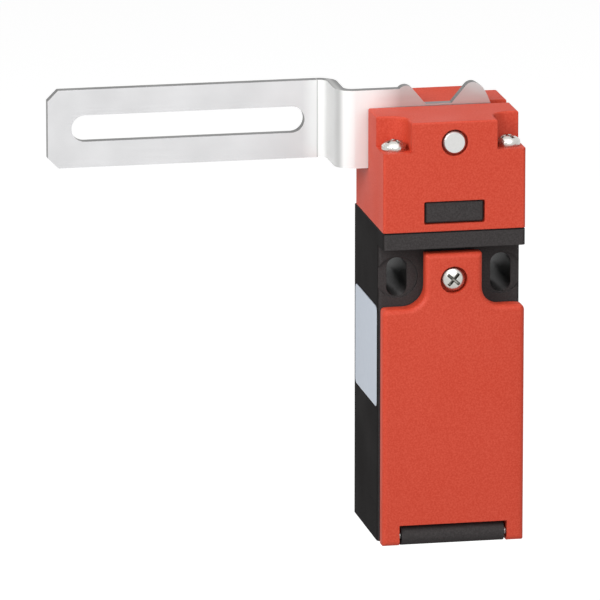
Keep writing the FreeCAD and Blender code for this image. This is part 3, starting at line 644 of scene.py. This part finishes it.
terminalScrew = {
    "node": "terminal_screws", "faces": "front", "radiusMm": 2.58, "heightMm": 1.78, "rimMm": 1.2,
    "shankMm": 1.45, "seatMm": 1.8, "insetMm": 2.6,
    "turns": {"left_low": 0.2, "left_high": 0.9, "right_low": 0.5, "right_high": 1.2}}
low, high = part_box("terminal_screws")
seat = low.y + terminalScrew["seatMm"] * mm
inset = terminalScrew["insetMm"] * mm
for corner, turn in terminalScrew["turns"].items():
    x = low.x + inset if "left" in corner else high.x - inset
    z = low.z + inset if "low" in corner else high.z - inset
    addScrew("terminal_screw_" + corner, terminalScrew, "case", x, seat, z, high.y - seat, turn)

blockScrew = {
    "node": "block_screws", "faces": "front", "radiusMm": 2.18, "heightMm": 1.75, "rimMm": 1.1,
    "shankMm": 1.42, "seatMm": 1.8, "insetMm": 2.2, "turns": {"left": 0.1, "right": 0.7}}
low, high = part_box("block_screws")
seat = low.y + blockScrew["seatMm"] * mm
inset = blockScrew["insetMm"] * mm
for side, turn in blockScrew["turns"].items():
    x = low.x + inset if side == "left" else high.x - inset
    addScrew("block_screw_" + side, blockScrew, "case", x, seat, (low.z + high.z) / 2, high.y - seat, turn)
print("screws done")


# Cuts into copies of CAD nodes, worked in millimetres, where they are exact

mergeMm = 0.0005


def cleanTriangles(work):  # one point where several meet, no face without area
    bmesh.ops.remove_doubles(work, verts=work.verts, dist=mergeMm)
    bmesh.ops.triangulate(work, faces=work.faces)
    bmesh.ops.dissolve_degenerate(work, edges=work.edges, dist=mergeMm)


# Copy of a node, merged, less a cutting body
def cutCopy(node, cutter):
    blank = newObject("blank", nodes[node].data.copy())
    work = bmesh.new()
    work.from_mesh(blank.data)
    bmesh.ops.scale(work, vec=(1 / mm, 1 / mm, 1 / mm), verts=work.verts)
    cleanTriangles(work)
    work.to_mesh(blank.data)
    work.free()
    tool = newObject("cutter", newMesh("cutter", *cutter))
    cut = blank.modifiers.new("cut", "BOOLEAN")
    cut.operation = "DIFFERENCE"
    cut.solver = "EXACT"
    cut.object = tool
    done = bpy.data.meshes.new_from_object(blank.evaluated_get(bpy.context.evaluated_depsgraph_get()))
    for spent in (blank, tool):
        bpy.data.objects.remove(spent)
    work = bmesh.new()
    work.from_mesh(done)
    cleanTriangles(work)
    work.to_mesh(done)
    work.free()
    done.calc_loop_triangles()
    points = np.empty(3 * len(done.vertices))
    done.vertices.foreach_get("co", points)
    corners = np.empty(3 * len(done.loop_triangles), int)
    done.loop_triangles.foreach_get("vertices", corners)
    return points.reshape(-1, 3) * mm, corners.reshape(-1, 3).tolist()


# Thread in the conduit entry

conduitThread = {
    "setBackMm": 12.5,    # axis, in front of the mounting face
    "insideMm": 7.05,     # the groove starts inside the bore's wall
    "rootMm": 8.0,
    "rootFlatMm": 0.19,
    "flankDeg": 30.0,
    "pitchMm": 1.5,
    "perTurn": 72,
    "beyondMm": 1.3,      # runs past both faces of the floor
}


# Groove: a trapezium of (radius, height) carried up a helix, height = start + pitch * turns
def threadGroove(bottomMm, topMm):
    t = conduitThread
    turns = (topMm - bottomMm) / t["pitchMm"]
    turn = np.linspace(0, turns, int(turns * t["perTurn"]) + 1)[:, None]
    angle = 2 * np.pi * turn
    narrow = t["rootFlatMm"] / 2
    wide = narrow + (t["rootMm"] - t["insideMm"]) * math.tan(math.radians(t["flankDeg"]))
    radius = np.array([[t["insideMm"], t["rootMm"], t["rootMm"], t["insideMm"]]])
    height = np.array([[-wide, -narrow, narrow, wide]])
    rise = bottomMm + t["pitchMm"] * turn + height
    return np.stack([radius * np.cos(angle), radius * np.sin(angle) - t["setBackMm"], rise], axis=-1)


low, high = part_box("housing_floor")
beyond = conduitThread["beyondMm"]
groove = closedGrid(threadGroove(low.z / mm - beyond, high.z / mm + beyond))
threadedFloor = cutCopy("housing_floor", groove)
addPiece("housing_floor_threaded", threadedFloor, blackPolyester, "case", "housing_floor")
print("conduit thread done")


# Shadow line round the cover, where its rear rim steps in

coverStep = {
    "deepMm": 0.5,
    "wideMm": 2.4,
    "halfMm": 15.0,
    "shoulderMm": -5.7,       # heights over the fixing slots
    "tongueTopMm": 5.8,
    "footMm": -60.0,          # below the cover, so that its foot stays whole
    "tongueHalfMm": 6.0,
    "shoulderRoundMm": 1.3,
    "tongueFootRoundMm": 4.0,
    "tongueRoundMm": 0.5,
    "footRoundMm": 0.3,
    "leastRoundMm": 0.05,
    "perCorner": 9,
    "clearMm": 1.5,           # the cutting body runs this far past the cover
}


# The cover's outline, a rounded loop moved inwards by inset
def coverLoop(inset):
    s = coverStep
    half = s["halfMm"] - inset
    tongue = s["tongueHalfMm"] - inset
    shoulder = s["shoulderMm"] - inset
    top = s["tongueTopMm"] - inset
    foot = s["footMm"] + inset
    right = [(half, foot), (half, shoulder), (tongue, shoulder), (tongue, top)]
    left = [(-x, z) for x, z in reversed(right)]
    tongueRound = max(s["tongueRoundMm"] - inset, s["leastRoundMm"])
    rounds = [s["footRoundMm"], s["shoulderRoundMm"] - inset, s["tongueFootRoundMm"] + inset, tongueRound]
    return roundedLoop(right + left, rounds + rounds[::-1], s["perCorner"])


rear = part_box("front_cover")[1].y / mm
stepStart = rear - coverStep["wideMm"]
stepEnd = rear + coverStep["clearMm"]
rim = bandGrid(coverLoop(-coverStep["clearMm"]), coverLoop(coverStep["deepMm"]), stepStart, stepEnd, axis=1)
steppedCover = cutCopy("front_cover", rim)
addPiece("front_cover_stepped", steppedCover, redPolyester, "cover", "front_cover", smooth=False)
print("cover step done")


# Springs

springs = {
    "return_spring": {"wireMm": 0.6, "turns": 5.0, "body": "case"},
    "nc_bridge_spring": {"wireMm": 0.32, "turns": 3.5, "body": "plunger"},
    "no_bridge_spring": {"wireMm": 0.32, "turns": 3.5, "body": "plunger"},
}
coilShape = {
    "perTurn": 40,
    "around": 12,
    "closedTurns": 0.8,   # at each end
    "closedRise": 1.02,   # rise of a closed turn, in wires
}


# Round wire carried along a helix: height = wire / 2 + the closed turns so far at their small rise
# + the open turns' share of the rest; the wire's circle stands on the radial axis
def springGrid(middle, bottom, top, radius, wire, turns):
    s = coilShape
    turn = np.linspace(0, turns, int(turns * s["perTurn"]) + 1)[:, None]
    share = np.clip((turn - s["closedTurns"]) / (turns - 2 * s["closedTurns"]), 0, 1)
    closedRise = wire * s["closedRise"]
    closed = np.minimum(turn, s["closedTurns"]) + np.maximum(turn - turns + s["closedTurns"], 0)
    openRise = (top - bottom) - wire - 2 * closedRise * s["closedTurns"]
    height = bottom + wire / 2 + closedRise * closed + openRise * share
    angle = turn * 2 * np.pi
    around = np.linspace(0, 2 * np.pi, s["around"], endpoint=False)[None, :]
    out = radius + wire / 2 * np.cos(around)
    rise = height + wire / 2 * np.sin(around)
    return np.stack([middle.x + out * np.cos(angle), middle.y + out * np.sin(angle), rise], axis=-1)


for name, look in springs.items():
    low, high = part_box(name)
    middle = (low + high) / 2
    wire = look["wireMm"] * mm
    radius = (high.x - low.x) / 2 - wire / 2
    points = springGrid(middle, low.z, high.z, radius, wire, look["turns"])
    coil = addPiece(name + "_wire", closedGrid(points), springSteel, look["body"], name)
    if name == "return_spring":
        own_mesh(coil)
print("springs done")


# Dark rubber band in the seam under the head: painted shade, set where the seam shows only shadow

seamShadeBand = {
    "outsideMm": 0.3,     # in from the head's sides
    "insideMm": 0.72,
    "lowMm": 0.01,        # over the head's seat
    "highMm": 0.33,
    "cornerMm": 0.6,
    "perCorner": 9,
}


# The head's outline, a rounded rectangle moved inwards by inset
def headLoop(inset):
    low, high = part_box("head_housing")
    left = low.x + inset
    right = high.x - inset
    front = low.y + inset
    back = high.y - inset
    corners = [(right, back), (left, back), (left, front), (right, front)]
    return roundedLoop(corners, [seamShadeBand["cornerMm"] * mm] * len(corners), seamShadeBand["perCorner"])


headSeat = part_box("head_housing")[0].z
lipLow = headSeat + seamShadeBand["lowMm"] * mm
lipHigh = headSeat + seamShadeBand["highMm"] * mm
lipOuter = headLoop(seamShadeBand["outsideMm"] * mm)
lipInner = headLoop(seamShadeBand["insideMm"] * mm)
lip = bandGrid(lipOuter, lipInner, lipLow, lipHigh, axis=2)
addPiece("head_seam_shade_band", lip, blackRubber, "case")
print("seal lip done")


# Stage: pale floor, soft light, camera

stageLook = {
    "floorSize": 6.0,
    "floor": "#c4c4c4",
    "floorGlow": 0.72,
    "floorGapMm": 6.0,    # below the lowest point of the open cover
    "ambient": 0.34,
}
levelDeg = 90             # the cover lies level when it is open this far


# Lamps and the camera look along their own -Z
def aimAt(thing, place, aim):
    toward = np.array(aim) - np.array(place)
    tilt = math.acos(-toward[2] / np.linalg.norm(toward))
    thing.location = place
    thing.rotation_euler = (tilt, 0, math.atan2(toward[1], toward[0]) - math.pi / 2)


# The floor lies low enough for the cover to hang open above it
hinge = joints["cover_hinge"]
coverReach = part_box("front_cover")[1].z - hinge["pos_m"][2]
overhang = math.radians(hinge["range_deg"][1] - levelDeg)
floorZ = hinge["pos_m"][2] - coverReach * math.sin(overhang) - stageLook["floorGapMm"] * mm
half = stageLook["floorSize"] / 2
floorCorners = [(-half, -half, floorZ), (half, -half, floorZ), (half, half, floorZ), (-half, half, floorZ)]
floorMesh = bpy.data.meshes.new("floor")
floorMesh.from_pydata(floorCorners, [], [(0, 1, 2, 3)])
newObject("floor", floorMesh)


# White painted board: part of its white is its own to the camera, so that the shadow stays faint,
# a reflection sees it as plain white, and from below it is clear
def whiteBoard(name):
    material, tree = newMaterial(name)
    ray = addNode(tree, "ShaderNodeLightPath").outputs
    mirrored = addNode(tree, "ShaderNodeMath", {
        0: ray["Is Glossy Ray"], 1: ray["Is Transmission Ray"]}, operation="MAXIMUM")
    matt = addNode(tree, "ShaderNodeBsdfDiffuse", {"Color": toLinear(stageLook["floor"])})
    glow = addNode(tree, "ShaderNodeEmission", {"Color": white, "Strength": stageLook["floorGlow"]})
    plain = addNode(tree, "ShaderNodeEmission", {"Color": white, "Strength": 1.0})
    glowing = addNode(tree, "ShaderNodeAddShader", {0: matt.outputs[0], 1: glow.outputs[0]})
    direct = addNode(tree, "ShaderNodeMixShader", {
        0: ray["Is Camera Ray"], 1: matt.outputs[0], 2: glowing.outputs[0]})
    upper = addNode(tree, "ShaderNodeMixShader", {
        0: mirrored.outputs[0], 1: direct.outputs[0], 2: plain.outputs[0]})
    below = addNode(tree, "ShaderNodeNewGeometry").outputs["Backfacing"]
    clear = addNode(tree, "ShaderNodeBsdfTransparent")
    board = addNode(tree, "ShaderNodeMixShader", {0: below, 1: upper.outputs[0], 2: clear.outputs[0]})
    finishMaterial(tree, board)
    return material


floorMesh.materials.append(whiteBoard("whiteBoard"))


# White to the camera and in reflections, and a soft ambient light to the rest
def studioWorld(name):
    world = bpy.data.worlds.new(name)
    world.use_nodes = True
    tree = world.node_tree
    tree.nodes.clear()
    ray = addNode(tree, "ShaderNodeLightPath").outputs
    direct = addNode(tree, "ShaderNodeMath", {
        0: ray["Is Camera Ray"], 1: ray["Is Glossy Ray"]}, operation="MAXIMUM")
    seen = addNode(tree, "ShaderNodeMath", {
        0: direct.outputs[0], 1: ray["Is Transmission Ray"]}, operation="MAXIMUM")
    level = addNode(tree, "ShaderNodeMapRange", {
        "Value": seen.outputs[0], "To Min": stageLook["ambient"], "To Max": 1.0})
    sky = addNode(tree, "ShaderNodeBackground", {"Color": white, "Strength": level.outputs["Result"]})
    addNode(tree, "ShaderNodeOutputWorld", {"Surface": sky.outputs[0]})
    return world


bpy.context.scene.world = studioWorld("studio")

softLights = {
    "top": {"place": (-0.05, -0.25, 0.75), "aim": (-0.01, -0.02, 0), "size": 0.8, "watts": 1.9},
    "front": {"place": (0.05, -1.2, 0.5), "aim": (0, -0.02, 0), "size": 0.9, "watts": 5.3},
    "left": {"place": (-0.24, -0.2, 0.2), "aim": (-0.015, -0.02, 0.02), "size": 0.2, "watts": 0.75},
}
for name, look in softLights.items():
    lamp = bpy.data.lights.new(name, "AREA")
    lamp.size = look["size"]
    lamp.energy = look["watts"]
    aimAt(newObject(name, lamp), look["place"], look["aim"])

cameraFit = {
    "place": (-0.362163, -1.694980, 0.416497),
    "aim": (-0.030311, -0.018929, -0.005303),
    "focalPixels": 8492.157,
    "imagePixels": 600,
    "sensorMm": 36.0,
    "clipEnd": 20.0,
}
lens = bpy.data.cameras.new("view")
lens.sensor_width = cameraFit["sensorMm"]
lens.lens = cameraFit["focalPixels"] / cameraFit["imagePixels"] * cameraFit["sensorMm"]
lens.clip_end = cameraFit["clipEnd"]
camera = newObject("view", lens)
aimAt(camera, cameraFit["place"], cameraFit["aim"])
bpy.context.scene.camera = camera
bpy.context.scene.view_settings.view_transform = "Standard"
print("stage done")
